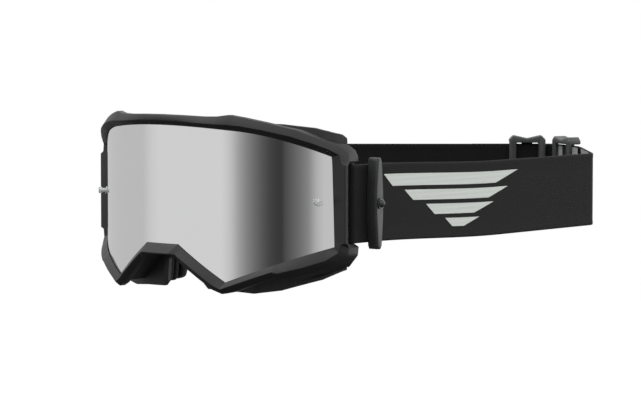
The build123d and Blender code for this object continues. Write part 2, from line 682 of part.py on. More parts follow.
def main():
    os.makedirs("parts", exist_ok=True)
    save("lens", make_lens())
    save("bezel", make_bezel())
    save("face_frame", make_face_frame())
    save("foam_base", foam_layer(FLANGE_SETBACK, FOAM_BASE))
    save("foam_middle", foam_layer(FLANGE_SETBACK + FOAM_BASE, FOAM_MIDDLE))
    save("foam_fleece", foam_layer(FLANGE_SETBACK + FOAM_BASE + FOAM_MIDDLE, FOAM_FLEECE))
    reach = vent_places()[-1] + VENT_WIDTH / 2 + VENT_FOAM_LAP
    save("vent_foam_top", vent_foam(-reach, reach, LENS_CORNER_TOP + 2 * VENT_FOAM_LAP, 1))
    low = low_vent_places()
    first = low[0] - VENT_LOW_WIDTH / 2 - VENT_FOAM_LAP
    last = low[-1] + VENT_LOW_WIDTH / 2 + VENT_FOAM_LAP
    save("vent_foam_low_left", vent_foam(first, last, LENS_CORNER_LOW - 2 * VENT_FOAM_LAP, -1))
    save("vent_foam_low_right", vent_foam(-last, -first, LENS_CORNER_LOW - 2 * VENT_FOAM_LAP, -1))
    save("band_left", make_band_left() - peg_hole(1))
    save("band_right", make_band_right() - peg_hole(-1))
    route = outer_route()
    near = grip_lines((route[0][0], back_of(TAIL_SETBACK)), (FOLD[0], FOLD[1] - FOLD_RADIUS), (-1, 0))
    save("grip_lines_left", near)
    inner = inner_route()
    far = grip_lines((inner[0][0], back_of(TAIL_SETBACK)),
                     (inner[1][0], inner[1][1] - SIDE_BEND_RADIUS * GRIP_SHORT), (1, 0))
    save("grip_lines_right", far)
    for side, name in ((1, "left"), (-1, "right")):
        save("lock_bar_" + name, make_lock_bar(side))
        save("lock_peg_" + name, make_lock_peg(side))
        save("lock_plate_" + name, make_lock_plate(side))
        save("tear_off_post_" + name, make_tear_off_post(side))
        save("post_washer_" + name, make_post_washer(side))
    save("slider_far", make_slider(slider_place(BEND, SIDE, SLIDER_ON_RUN, run_outward())))
    save("slider_near", make_slider(slider_place(BEND, FOLD, SLIDER_ON_LEG, leg_outward())))


main()
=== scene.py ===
"""Off-road riding goggles: mirror lens, faceted bezel, face foam, elastic strap, strap locks and sliders."""

import math
from contextlib import contextmanager

import bmesh
import bpy
from bpy.props import FloatProperty, FloatVectorProperty, IntProperty, PointerProperty
from bpy.types import Operator
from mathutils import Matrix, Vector


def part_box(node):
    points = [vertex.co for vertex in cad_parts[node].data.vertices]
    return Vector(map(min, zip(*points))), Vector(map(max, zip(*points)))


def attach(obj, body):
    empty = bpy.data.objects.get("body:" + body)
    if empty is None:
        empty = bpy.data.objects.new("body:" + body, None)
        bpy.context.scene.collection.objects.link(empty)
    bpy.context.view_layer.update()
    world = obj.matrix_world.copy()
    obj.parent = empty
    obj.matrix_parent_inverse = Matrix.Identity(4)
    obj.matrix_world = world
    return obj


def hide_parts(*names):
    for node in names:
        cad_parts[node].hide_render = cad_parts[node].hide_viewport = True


bl_info = {
    "name": "Off-road goggles",
    "version": (1, 0, 0),
    "blender": (4, 5, 0),
    "location": "3D View > Sidebar > Goggles",
    "description": "Builds the lens, bezel, foam, strap and strap hardware of a pair of off-road goggles",
    "category": "Add Mesh",
}

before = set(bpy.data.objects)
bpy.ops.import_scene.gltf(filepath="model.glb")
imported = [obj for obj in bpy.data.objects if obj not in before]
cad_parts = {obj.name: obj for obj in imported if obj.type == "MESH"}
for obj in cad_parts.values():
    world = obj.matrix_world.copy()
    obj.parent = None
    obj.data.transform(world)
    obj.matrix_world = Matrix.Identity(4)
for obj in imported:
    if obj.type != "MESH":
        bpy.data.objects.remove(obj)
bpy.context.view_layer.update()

MM = 0.001
ROOT = "goggles"  # the body that everything without a joint rides on
SIDES = ("left", "right")
LENS_FRONT = -40.5  # Y of the front of the lens, mm
LENS_RADIUS = 96.0  # plan radius of the middle of the lens
LENS_TURN = math.radians(30)  # angle each side that the middle radius covers
LENS_SIDE_RADIUS = 120.0  # plan radius of each side
POCKET_HALF = 24.45  # half height of the strap slot
SLOT_SETBACK = 55.2  # front of the strap slot behind the front of the lens
POST = (90.5, 60.2)  # strap post, X and setback
FOLD = (93.2, 293.0)  # corner where the near run turns across the back, X and setback
BEND = (45.0, 317.0)  # corner where it turns to the far side
SIDE = (-93.2, 202.0)  # corner of the far run
LOCK_SETBACK = 72.9  # strap lock
TAIL_SETBACK = 95.2  # end of the folded band
POST_RADIUS = 1.75
CLEARANCE = 0.15  # between the band's layers, and round the post
BAND_THICK = 1.6
BEAD_RINGS = 5
SAG = 3.2  # how far the near run hangs between its lock and the back
SAG_REACH = 0.55  # share of the run over which the hang grows
SAG_BACK = 20.0  # distance past the fold, across the back, over which it rises again


def linear(code):
    """Linear colour of an sRGB hex code."""
    parts = [int(code[i:i + 2], 16) / 255 for i in (0, 2, 4)]
    return tuple(c / 12.92 if c <= 0.04045 else ((c + 0.055) / 1.055) ** 2.4 for c in parts)


def colour(name, note, code):
    return FloatVectorProperty(name=name, description=note, subtype="COLOR", size=3, min=0, max=1,
                               default=linear(code))


def size(name, note, value):
    return FloatProperty(name=name, description=note, default=value * MM, unit="LENGTH", min=0.0)


def extent(name, axis):
    """Size of a CAD node along an axis, mm."""
    low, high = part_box(name)
    return (high[axis] - low[axis]) / MM


class GogglesSizes(bpy.types.PropertyGroup):
    """Sizes that a user would change."""
    lens_thick: size("Lens thickness", "Sheet that the lens is cut from", 1.2)
    band_width: size("Strap width", "Elastic band from edge to edge", extent("band_left", 2))
    band_thick: size("Strap thickness", "Elastic band from face to face", BAND_THICK)
    rib_pitch: size("Rib pitch", "Distance between the elastic cords in the band", 1.5)
    stitch_pitch: size("Stitch pitch", "From one stitch to the next", 2.6)
    print_thick: size("Print thickness", "Rubber print standing off the band", 0.12)
    bead_pitch: size("Grip bead pitch", "From one silicone bead to the next", 4.6)
    foam_cell: size("Foam cell", "Width of the open cells in the vent foam", 1.4)
    bead_rings: IntProperty(name="Bead rings", description="Rings in each bead", default=BEAD_RINGS, min=3,
                            max=9)


class GogglesColours(bpy.types.PropertyGroup):
    """Colours of the finishes."""
    lens: colour("Lens coating", "Silver mirror coating", "E6E6E7")
    bezel: colour("Bezel", "Black moulded TPU of the bezel", "181918")
    face_frame: colour("Face frame", "Black moulded TPU of the face frame", "262726")
    foam: colour("Face foam", "Charcoal face foam", "2E2F2E")
    fleece: colour("Fleece", "Black fleece that touches the face", "1C1C1D")
    strap: colour("Strap", "Black elastic webbing", "151615")
    print: colour("Strap print", "Light grey rubber print", "D8DDD8")
    patch: colour("Woven patch", "Light grey woven patch", "9FA3A0")
    silicone: colour("Silicone", "Dark grip silicone", "3A3B3B")
    lock: colour("Strap lock", "Black glass-filled nylon", "333434")
    clear: colour("Tear-off post", "Clear polycarbonate", "F2F4F4")
    slider: colour("Slider", "Black acetal", "454646")
    floor: colour("Floor", "Pale studio floor", "F7F7F7")


# Nodes, meshes and pieces


def node(tree, kind, inputs=None, **settings):
    """Add a node: inputs are numbers or the sockets that feed it, settings its properties."""
    made = tree.nodes.new(kind)
    for name, value in settings.items():
        setattr(made, name, value)
    for name, value in (inputs or {}).items():
        if isinstance(value, bpy.types.NodeSocket):
            tree.links.new(value, made.inputs[name])
        else:
            made.inputs[name].default_value = value
    return made


def new_material(name):
    """An empty material, its node tree and its object coordinates."""
    material = bpy.data.materials.new(name)
    material.use_nodes = True
    tree = material.node_tree
    tree.nodes.clear()
    return material, tree, node(tree, "ShaderNodeTexCoord").outputs["Object"]


def surface(tree, inputs):
    """Principled shader straight into the output."""
    shader = node(tree, "ShaderNodeBsdfPrincipled", inputs)
    node(tree, "ShaderNodeOutputMaterial", {"Surface": shader.outputs["BSDF"]})


def soft_surface(tree, roughness, specular, sheen, sheen_roughness, base, normal):
    """Principled shader of a cloth or foam."""
    surface(tree, {"Roughness": roughness, "Specular IOR Level": specular, "Sheen Weight": sheen,
                   "Sheen Roughness": sheen_roughness, "Base Color": base, "Normal": normal})


def maths(tree, operation, *operands):
    """A maths node on numbers and sockets, in the order of its inputs."""
    return node(tree, "ShaderNodeMath", dict(enumerate(operands)), operation=operation).outputs[0]


def spread(tree, factor, low, high, start=0.0, end=1.0):
    """A factor from start to end mapped to a range from low to high."""
    return node(tree, "ShaderNodeMapRange", {"Value": factor, "From Min": start, "From Max": end,
                                             "To Min": low, "To Max": high}).outputs["Result"]


def blended(tree, factor, first, second):
    """Mix of two colours."""
    return node(tree, "ShaderNodeMix", {"Factor": factor, 6: first, 7: second}, data_type="RGBA").outputs[2]


def tinted(tree, factor, tone, dark, light):
    """Colour that runs from a darker to a lighter tone of the same colour."""
    return blended(tree, factor, (*[c * dark for c in tone], 1), (*[min(1, c * light) for c in tone], 1))


def bumped(tree, height, distance, strength=1.0, under=None):
    inputs = {"Strength": strength, "Distance": distance, "Height": height}
    if under is not None:
        inputs["Normal"] = under
    return node(tree, "ShaderNodeBump", inputs).outputs["Normal"]


def noise(tree, coords, across, detail=3.0, rough=0.5):
    """Noise whose lumps are that many metres across."""
    return node(tree, "ShaderNodeTexNoise", {"Vector": coords, "Scale": 1 / across, "Detail": detail,
                                             "Roughness": rough}).outputs["Fac"]


def moulded(name, tone, roughness, grain, depth, light=1.2):
    """Moulded plastic: fine spark-eroded grain, soft tonal drift, and a painted highlight that lightens the
    colour of the convex edges, which are also slightly glossier.
    """
    material, tree, coords = new_material(name)
    fine = noise(tree, coords, grain, 2.0)
    drift = noise(tree, coords, 22 * MM, 2.0)
    # Painted highlight: pointiness finds the convex edges, and the colour is lightened there on top of the
    # random tonal drift.
    painted_edge_highlight = node(tree, "ShaderNodeNewGeometry").outputs["Pointiness"]
    shade = maths(tree, "ADD", drift, spread(tree, painted_edge_highlight, 0.0, 0.35, 0.5, 0.62))
    surface(tree, {
        "IOR": 1.5,
        "Base Color": tinted(tree, shade, tone, 0.85, light),
        "Roughness": spread(tree, shade, roughness + 0.06, roughness - 0.06),
        "Normal": bumped(tree, fine, depth)})
    return material


def mirror_coating(tone):
    """Vacuum-coated polycarbonate: a smooth silver mirror, with the faintest waviness of the bent sheet."""
    material, tree, coords = new_material("silver mirror coated polycarbonate")
    haze = noise(tree, coords, 30 * MM, 2.0)
    surface(tree, {
        "Metallic": 1.0,
        "Base Color": tinted(tree, haze, tone, 0.97, 1.0),
        "Roughness": spread(tree, haze, 0.045, 0.07),
        "Normal": bumped(tree, noise(tree, coords, 60 * MM, 0.0), 0.02 * MM)})
    return material


def open_foam(name, tone, cell, depth):
    """Cut polyurethane foam: open cells, with painted shade that darkens the colour in the pit of each cell.
    """
    material, tree, coords = new_material(name)
    cells = node(tree, "ShaderNodeTexVoronoi", {"Vector": coords, "Scale": 1 / cell}).outputs["Distance"]
    fine = noise(tree, coords, cell / 3, 3.0)
    height = maths(tree, "MULTIPLY", cells, fine)
    # Painted shade: the colour runs from dark at the middle of each cell, where the bump dips, to light at
    # its rim.
    soft_surface(tree, 0.95, 0.2, 0.12, 0.6, tinted(tree, cells, tone, 0.45, 1.35),
                 bumped(tree, height, depth))
    return material


def fleece(tone):
    """Brushed polyester fleece: short matted fibres with a soft sheen, drawn coarser than real to show."""
    material, tree, coords = new_material("brushed polyester fleece")
    stretched = node(tree, "ShaderNodeMapping", {"Vector": coords, "Scale": (1.0, 1.0, 0.45)})
    fibre = noise(tree, stretched.outputs["Vector"], 0.5 * MM, 6.0, 0.7)
    tuft = noise(tree, coords, 3.5 * MM, 3.0)
    shade = maths(tree, "MULTIPLY", fibre, tuft)
    soft_surface(tree, 0.9, 0.15, 0.35, 0.5, tinted(tree, shade, tone, 0.6, 2.2),
                 bumped(tree, fibre, 0.3 * MM, 0.8, bumped(tree, tuft, 0.5 * MM, 0.5)))
    return material


def webbing(name, tone, pitch, light=1.5):
    """Woven elastic: cords along the band under a plain weave. The UV map is in metres along and across."""
    material, tree, coords = new_material(name)
    flat = node(tree, "ShaderNodeUVMap", uv_map="UVMap").outputs["UV"]
    split = node(tree, "ShaderNodeSeparateXYZ", {"Vector": flat})
    turn = 2 * math.pi / pitch
    pick = maths(tree, "SINE", maths(tree, "MULTIPLY", split.outputs["X"], 1.6 * turn))
    cord = maths(tree, "SINE", maths(tree, "MULTIPLY", split.outputs["Y"], turn))
    weave = maths(tree, "MULTIPLY", pick, cord)
    level = spread(tree, maths(tree, "MULTIPLY_ADD", cord, 0.6, weave), 0.0, 1.0, -1.6, 1.6)
    fuzz = noise(tree, coords, 0.4 * MM, 4.0, 0.6)
    drift = noise(tree, coords, 14 * MM, 2.0)
    whole = maths(tree, "MULTIPLY_ADD", drift, 0.35, maths(tree, "MULTIPLY", level, fuzz))
    soft_surface(tree, 0.82, 0.25, 0.1, 0.4, tinted(tree, whole, tone, 0.7, light),
                 bumped(tree, level, 0.12 * MM, 0.7, bumped(tree, fuzz, 0.1 * MM, 0.5)))
    return material


def rubber_print(tone):
    """Screen-printed rubber on the band: flat, slightly glossy, with the weave showing through."""
    material, tree, coords = new_material("screen printed rubber")
    weave = node(tree, "ShaderNodeTexWave", {"Vector": coords, "Scale": 1 / (9 * MM), "Distortion": 0.4,
                                             "Detail": 2.0}, bands_direction="Z").outputs["Fac"]
    speck = noise(tree, coords, 0.7 * MM, 4.0)
    surface(tree, {
        "IOR": 1.45,
        "Base Color": tinted(tree, speck, tone, 0.9, 1.06),
        "Roughness": spread(tree, speck, 0.5, 0.65),
        "Normal": bumped(tree, weave, 0.05 * MM)})
    return material


def silicone(tone):
    """Cast silicone: satin, with a trace of dust."""
    material, tree, coords = new_material("cast silicone")
    dust = noise(tree, coords, 1.2 * MM, 4.0)
    surface(tree, {
        "IOR": 1.42, "Subsurface Weight": 0.05,
        "Base Color": tinted(tree, dust, tone, 0.9, 1.25),
        "Roughness": spread(tree, dust, 0.38, 0.55),
        "Normal": bumped(tree, dust, 0.03 * MM)})
    return material


def clear_polycarbonate(tone):
    """Turned clear polycarbonate: see-through, with fine tool marks."""
    material, tree, coords = new_material("clear polycarbonate")
    marks = noise(tree, coords, 0.5 * MM, 2.0)
    surface(tree, {
        "IOR": 1.46, "Transmission Weight": 0.45,
        "Base Color": tinted(tree, marks, tone, 0.95, 1.0),
        "Roughness": spread(tree, marks, 0.25, 0.4),
        "Normal": bumped(tree, marks, 0.01 * MM)})
    return material


def new_object(name, data):
    """A new object in the scene."""
    thing = bpy.data.objects.new(name, data)
    bpy.context.scene.collection.objects.link(thing)
    return thing


@contextmanager
def mesh_edit(piece):
    """The piece's mesh as a bmesh, written back afterwards."""
    work = bmesh.new()
    work.from_mesh(piece.data)
    yield work
    work.to_mesh(piece.data)
    work.free()


def make_piece(name, points, faces, material):
    """Mesh object from points in millimetres, its normals pointing outwards."""
    mesh = bpy.data.meshes.new(name)
    mesh.from_pydata([Vector(p) * MM for p in points], [], faces)
    piece = new_object(name, mesh)
    mesh.materials.append(material)
    tidy_mesh(piece, 1e-7)
    return piece


def tube_faces(rings, count, closed=False):
    """Faces between rings of count points each."""
    faces = []
    for i in range(rings if closed else rings - 1):
        a, b = count * i, count * ((i + 1) % rings)
        faces += [(a + j, a + (j + 1) % count, b + (j + 1) % count, b + j) for j in range(count)]
    return faces


def tidy_mesh(piece, merge):
    """Merge doubles and turn every face outwards."""
    with mesh_edit(piece) as work:
        bmesh.ops.remove_doubles(work, verts=work.verts, dist=merge)
        bmesh.ops.recalc_face_normals(work, faces=work.faces)


def cad_copy(name, ending, material):
    """A copy of a CAD node's mesh, with its own material."""
    piece = new_object(name + ending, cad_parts[name].data.copy())
    piece.data.materials.clear()
    piece.data.materials.append(material)
    return piece


def apply_modifiers(piece):
    """Keep the evaluated mesh and drop the modifiers."""
    graph = bpy.context.evaluated_depsgraph_get()
    mesh = bpy.data.meshes.new_from_object(piece.evaluated_get(graph))
    piece.modifiers.clear()
    piece.data = mesh


def smooth(piece, degrees):
    """Smooth shading, with sharp edges where faces meet at more than that angle."""
    piece.data.shade_smooth()
    piece.data.set_sharp_from_angle(angle=math.radians(degrees))


def bevel(piece, width, segments, degrees=30.0, weighted=False):
    edge = piece.modifiers.new("edges", "BEVEL")
    edge.width = width
    edge.segments = segments
    edge.limit_method = "WEIGHT" if weighted else "ANGLE"
    edge.angle_limit = math.radians(degrees)
    edge.use_clamp_overlap = True
    apply_modifiers(piece)


def refine(name, bevel_width, material, slot, degrees, body=ROOT, segments=2):
    """A copy of a CAD node with its edges eased, in the node's place."""
    piece = cad_copy(name, "_eased", material)
    with mesh_edit(piece) as work:
        bmesh.ops.remove_doubles(work, verts=work.verts, dist=2e-6)
        bmesh.ops.dissolve_limit(work, angle_limit=math.radians(1.0), verts=work.verts, edges=work.edges)
    if bevel_width:
        bevel(piece, bevel_width * MM, segments, degrees)
    smooth(piece, degrees)
    settle(piece, slot, name, body=body)


def settle(piece, slot, *replaced, body=ROOT):
    """Attach a piece to its body and hide the CAD nodes that it stands for; the slot is not used."""
    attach(piece, body)
    if replaced:
        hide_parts(*replaced)


def ease(share):
    """Smooth step from 0 to 1."""
    share = min(1.0, max(0.0, share))
    return share * share * (3 - 2 * share)


def hang(piece):
    """Let the part of a strap piece on the near run hang a little under its own weight."""
    lock = LENS_FRONT + LOCK_SETBACK
    reach = SAG_REACH * (FOLD[1] - LOCK_SETBACK)
    for vertex in piece.data.vertices:
        x, y, _ = vertex.co / MM
        if x > 0:
            vertex.co.z -= SAG * MM * ease((y - lock) / reach) * (1 - ease((FOLD[0] - x) / SAG_BACK))


# The lens curve


def lens_point(angle, out):
    """Plan point on the lens curve at an angle from the middle, moved out along its normal."""
    turn = abs(angle)
    if turn <= LENS_TURN:
        x = LENS_RADIUS * math.sin(turn)
        back = LENS_RADIUS * (1 - math.cos(turn))
    else:
        sin, cos = math.sin(LENS_TURN), math.cos(LENS_TURN)
        x = LENS_RADIUS * sin + LENS_SIDE_RADIUS * (math.sin(turn) - sin)
        back = LENS_RADIUS * (1 - cos) + LENS_SIDE_RADIUS * (cos - math.cos(turn))
    x += out * math.sin(turn)
    back -= out * math.cos(turn)
    return math.copysign(x, angle), back


def lens_angle(x, out):
    """Angle at which the curve moved out reaches the half width x."""
    x = abs(x)
    if x <= (LENS_RADIUS + out) * math.sin(LENS_TURN):
        return math.asin(x / (LENS_RADIUS + out))
    start = (LENS_RADIUS - LENS_SIDE_RADIUS) * math.sin(LENS_TURN)
    return math.asin(min(1.0, (x - start) / (LENS_SIDE_RADIUS + out)))


def setback(x, out):
    """Distance behind the front of the lens at half width x."""
    return lens_point(lens_angle(x, out), out)[1]


def on_curve(x, z, out):
    return (x, LENS_FRONT + setback(x, out), z)


def arc_height(x, first, middle, last):
    """Height at x of the circle through three points."""
    (x1, z1), (x2, z2), (x3, z3) = first, middle, last
    d = 2 * (x1 * (z2 - z3) + x2 * (z3 - z1) + x3 * (z1 - z2))
    s1, s2, s3 = x1 * x1 + z1 * z1, x2 * x2 + z2 * z2, x3 * x3 + z3 * z3
    cx = (s1 * (z2 - z3) + s2 * (z3 - z1) + s3 * (z1 - z2)) / d
    cz = (s1 * (x3 - x2) + s2 * (x1 - x3) + s3 * (x2 - x1)) / d
    radius = math.hypot(x1 - cx, z1 - cz)
    return cz + math.sqrt(max(0.0, radius * radius - (x - cx) ** 2))


SHOULDER = (42.0, 41.9)
BROW = (66.7, 36.7)
CORNER = (86.4, 27.0)
LOW_CORNER = (87.4, -23.9)
TIP = (40.5, -43.8)
NOSE = (11.9, -23.1)


def brow_height(x):
    """Top edge of the visible lens."""
    x = abs(x)
    if x <= SHOULDER[0]:
        return arc_height(x, (-SHOULDER[0], SHOULDER[1]), (0.0, 44.2), SHOULDER)
    return arc_height(min(x, 89.0), SHOULDER, BROW, CORNER)


def low_height(x):
    """Bottom edge of the visible lens, with its nose notch."""
    x = abs(x)
    if x <= NOSE[0]:
        return NOSE[1]
    first, last = (NOSE, TIP) if x <= TIP[0] else (TIP, LOW_CORNER)
    return first[1] + (last[1] - first[1]) * (x - first[0]) / (last[0] - first[0])


def steps(low, high, longest):
    """Evenly spaced numbers from low up to high, without high."""
    count = max(1, math.ceil(abs(high - low) / longest))
    return [low + (high - low) * i / count for i in range(count)]


class Step:
    """One step of the build, from the scene's sizes and colours."""

    def execute(self, context):
        self.build(context.scene.goggles_sizes, context.scene.goggles_colours)
        return {"FINISHED"}


class GOGGLES_OT_lens(Step, Operator):
    """Bent lens sheet with a silver mirror coating"""
    bl_idname = "goggles.lens"
    bl_label = "Lens"

    HALF = 88.5      # half width inside the bezel's groove
    BITE = 2.6       # sheet inside the groove above and below

    def build(self, sizes, tones):
        thick = sizes.lens_thick / MM
        half = self.HALF
        breaks = [-half, -TIP[0], -NOSE[0], NOSE[0], TIP[0], half]
        places = [x for a, b in zip(breaks, breaks[1:]) for x in steps(a, b, 0.8)] + [half]
        points = []
        for x in places:
            top = brow_height(min(abs(x), CORNER[0])) + self.BITE
            low = low_height(min(abs(x), LOW_CORNER[0])) - self.BITE
            points += [on_curve(x, low, 0.0), on_curve(x, top, 0.0),
                       on_curve(x, top, -thick), on_curve(x, low, -thick)]
        last = 4 * (len(places) - 1)
        faces = tube_faces(len(places), 4) + [(3, 2, 1, 0), tuple(range(last, last + 4))]
        sheet = make_piece("lens_sheet", points, faces, mirror_coating(tones.lens))
        smooth(sheet, 30)
        settle(sheet, "mirror_lens", "lens")


# Bezel sections from the top middle round the side to the nose, in millimetres: lens edge (X, Z),
# ridge (X, Z, proud of the lens), foot (X, Z, proud) and back (X, Z, setback). An edge without its height
# follows the lens, and a section without a back ends BEZEL_BACK behind it.
BEZEL_SECTIONS = [
    ((0.0, 44.2), (0.0, 47.3, 3.2), (0.0, 50.4, 1.6)),
    ((14.0,), (14.0, 46.9, 3.4), (14.0, 50.2, 1.6)),
    ((27.0,), (28.0, 46.0, 4.0), (28.0, 49.7, 1.5)),
    ((35.5,), (36.5, 45.5, 4.0), (36.0, 49.8, 1.5)),
    ((42.0,), (43.0, 45.3, 4.0), (42.5, 50.8, 1.4)),
    ((49.0,), (50.5, 44.6, 4.0), (50.0, 49.3, 1.2)),
    ((58.0,), (60.6, 42.6, 4.0), (60.0, 46.7, 1.0)),
    ((70.0,), (73.0, 39.0, 4.0), (73.5, 42.5, 1.0)),
    ((78.0,), (81.5, 35.2, 4.0), (83.0, 37.0, 0.8), (83.4, 37.2, 48.0)),
    ((84.5,), (87.6, 31.7, 4.2), (90.0, 32.6, 1.4), (91.2, 33.4, 58.0)),
    ((86.4, 27.0), (91.4, 28.4, 4.2), (93.0, 29.4, 2.2), (93.6, 30.6, 60.4)),
    ((86.55, 24.6), (91.8, 26.0, 4.4), (93.6, 26.8, 2.6), (94.2, 27.6, 61.8)),
    ((86.6, 22.6), (92.2, 24.0, 4.6), (93.8, 24.55, 3.0), (94.2, 24.42, 62.6)),
    ((86.62, 22.0), (94.8, 22.4, 6.5), (95.5, 22.4, 6.2), (92.6, 22.4, SLOT_SETBACK)),
    ((87.0, 0.0), (94.8, 0.0, 6.5), (95.5, 0.0, 6.2), (92.6, 0.0, SLOT_SETBACK)),
    ((87.3, -20.5), (94.8, -21.6, 6.5), (95.5, -21.9, 6.2), (92.6, -22.2, SLOT_SETBACK)),
    ((87.32, -21.0), (92.2, -22.5, 4.6), (93.8, -24.55, 3.0), (94.2, -24.42, 62.7)),
    ((87.4, -23.9), (91.0, -27.2, 4.0), (93.0, -29.0, 2.2), (94.1, -29.2, 62.0)),
    ((84.0,), (86.6, -31.4, 4.0), (88.8, -34.0, 1.6), (91.4, -34.2, 59.4)),
    ((76.0,), (78.0, -35.2, 4.0), (79.8, -38.4, 1.0), (85.8, -39.0, 54.6)),
    ((66.5,), (67.6, -38.4, 4.0), (68.6, -41.6, 1.0), (74.0, -42.8, 40.0)),
    ((64.0,), (65.2, -37.6, 4.2), (65.5, -40.9, 1.6)),
    ((45.0,), (45.5, -45.6, 4.2), (45.0, -49.3, 1.5)),
    ((40.5, -43.8), (40.2, -47.6, 4.2), (39.5, -50.5, 1.5)),
    ((37.5,), (35.8, -45.4, 4.2), (34.2, -48.3, 1.4)),
    ((26.0,), (24.2, -36.8, 4.4), (23.2, -40.2, 1.6)),
    ((14.5,), (13.2, -28.8, 4.8), (14.2, -33.2, 2.4)),
    ((11.9, -23.1), (10.4, -28.3, 7.0), (10.3, -29.1, 5.6)),
    ((0.0, -23.1), (0.0, -28.3, 7.0), (0.0, -29.1, 5.6)),
]
TOP_SECTIONS = 10  # of these, on the top edge
BEZEL_BACK = 3.0
LIP = 0.25  # bezel lip in front of the lens face
LIP_BEHIND = -1.45  # inner lip behind the lens
GROOVE = 3.0
SIDE_GROOVE = 1.7
SIDE_FROM = 84.0  # half width from which a section belongs to the side
INNER_STEP = 0.8  # the back's inner corner, outside the lens edge
INNER_LIMIT = 87.9  # and its greatest half width
LOBE_RISE = 6.0  # height above the strap slot from which the lobe has a wall
LOBE_WALL = 2.0
BROW_MIDDLE = 18.0  # half width of the brow's softer middle
EDGE_WEIGHTS = [(0.2, 0.2), (0.22, 1.0), (0.2, 0.6), (0.3, 0.3)]  # bevel weight, and that in the middle


def full_section(section, top):
    """A section with its lens edge height and back filled in."""
    edge, ridge, foot, *back = section
    if len(edge) == 1:
        edge = (edge[0], brow_height(edge[0]) if top else low_height(edge[0]))
    if not back:
        back = [(foot[0], foot[1], setback(foot[0], -BEZEL_BACK))]
    return edge, ridge, foot, back[0]


def between(a, b, share):
    return tuple(p + (q - p) * share for p, q in zip(a, b))


def bezel_stations():
    """Dense sections of the right half."""
    stations = []
    for index, (first, second) in enumerate(zip(BEZEL_SECTIONS, BEZEL_SECTIONS[1:])):
        top = index < TOP_SECTIONS
        start, end = full_section(first, top), full_section(second, top)
        plain = len(first) == len(second) == 3
        count = max(1, math.ceil(math.dist(start[0], end[0]) / 1.4))
        for i in range(count):
            edge, ridge, foot, back = [between(a, b, i / count) for a, b in zip(start, end)]
            if top:
                edge = (edge[0], brow_height(edge[0]))
            if plain:
                back = (foot[0], foot[1], setback(foot[0], -BEZEL_BACK))
            stations.append((edge, ridge, foot, back))
    stations.append(full_section(BEZEL_SECTIONS[-1], False))
    return stations


def section_points(station):
    """The eight corners of one section, from the lip over the ridge to the back and round the groove."""
    edge, ridge, foot, back = station
    x, z = edge
    away = Vector((foot[0] - x, foot[1] - z)).normalized()
    depth = SIDE_GROOVE if x > SIDE_FROM else GROOVE
    inner_x, inner_z = min(x + away[0] * INNER_STEP, INNER_LIMIT), z + away[1] * INNER_STEP
    inner_back = setback(inner_x, -BEZEL_BACK)
    if x > SIDE_FROM:
        inner_back = max(back[2], inner_back)
    if x >= SIDE_FROM and abs(back[1]) >= POCKET_HALF + LOBE_RISE:
        inner_z = back[1] - math.copysign(LOBE_WALL, back[1])
    groove = (x + away[0] * depth, z + away[1] * depth)
    return [
        on_curve(x, z, LIP),
        on_curve(*ridge),
        on_curve(*foot),
        (back[0], LENS_FRONT + back[2], back[1]),
        (inner_x, LENS_FRONT + inner_back, inner_z),
        on_curve(x, z, LIP_BEHIND),
        on_curve(groove[0], groove[1], LIP_BEHIND),
        on_curve(groove[0], groove[1], LIP),
    ]


class GOGGLES_OT_bezel(Step, Operator):
    """Faceted bezel that holds the lens, with its nose bridge"""
    bl_idname = "goggles.bezel"
    bl_label = "Bezel"

    def build(self, sizes, tones):
        right = [section_points(s) for s in bezel_stations()]
        left = [[(-x, y, z) for x, y, z in ring] for ring in reversed(right[1:-1])]
        rings = right + left
        points = [p for ring in rings for p in ring]
        material = moulded("moulded black TPU", tones.bezel, 0.42, 0.35 * MM, 0.018 * MM)
        bezel = make_piece("bezel_shell", points, tube_faces(len(rings), 8, True), material)
        self.weigh_edges(bezel.data)
        bevel(bezel, 1.5 * MM, 3, weighted=True)
        smooth(bezel, 24)
        settle(bezel, "bezel_tpu", "bezel")

    def weigh_edges(self, mesh):
        """Ease the lip, ridge, foot and back edges, the ridge and foot more over the middle of the brow."""
        weights = mesh.attributes.new("bevel_weight_edge", "FLOAT", "EDGE")
        for edge in mesh.edges:
            a, b = edge.vertices
            if a % 8 == b % 8 < len(EDGE_WEIGHTS):
                spot = mesh.vertices[a].co / MM
                brow = spot.z > 0 and abs(spot.x) < BROW_MIDDLE
                weights.data[edge.index].value = EDGE_WEIGHTS[a % 8][brow]


class GOGGLES_OT_face_frame(Step, Operator):
    """Face frame: vented wall, face flange and strap posts"""
    bl_idname = "goggles.face_frame"
    bl_label = "Face frame"

    def build(self, sizes, tones):
        material = moulded("soft moulded black TPU", tones.face_frame, 0.5, 0.4 * MM, 0.02 * MM)
        refine("face_frame", 0.3, material, "frame_tpu", 38.0)


def soft_copy(name, material, slot):
    """A merged copy of a CAD soft solid, for easing into a foam part."""
    piece = cad_copy(name, "_pad", material)
    tidy_mesh(piece, 5e-6)
    settle(piece, slot, name)
    return piece


def remesh(piece, voxel):
    change = piece.modifiers.new("remesh", "REMESH")
    change.mode = "VOXEL"
    change.voxel_size = voxel
    apply_modifiers(piece)


def puff(piece, pressure, cap):
    """Swell a remeshed pad with Blender's cloth, and keep each point within cap of where it started."""
    start = [v.co.copy() for v in piece.data.vertices]
    cloth = piece.modifiers.new("cloth", "CLOTH")
    cloth.settings.use_pressure = True
    cloth.settings.uniform_pressure_force = pressure
    cloth.settings.quality = 5
    cloth.settings.mass = 0.2
    cloth.settings.effector_weights.gravity = 0.0
    cloth.point_cache.frame_start = 1
    cloth.point_cache.frame_end = 20
    for step in range(1, 21):
        bpy.context.scene.frame_set(step)
    apply_modifiers(piece)
    bpy.context.scene.frame_set(1)
    for vertex, rest in zip(piece.data.vertices, start):
        move = vertex.co - rest
        if move.length > cap:
            vertex.co = rest + move.normalized() * cap


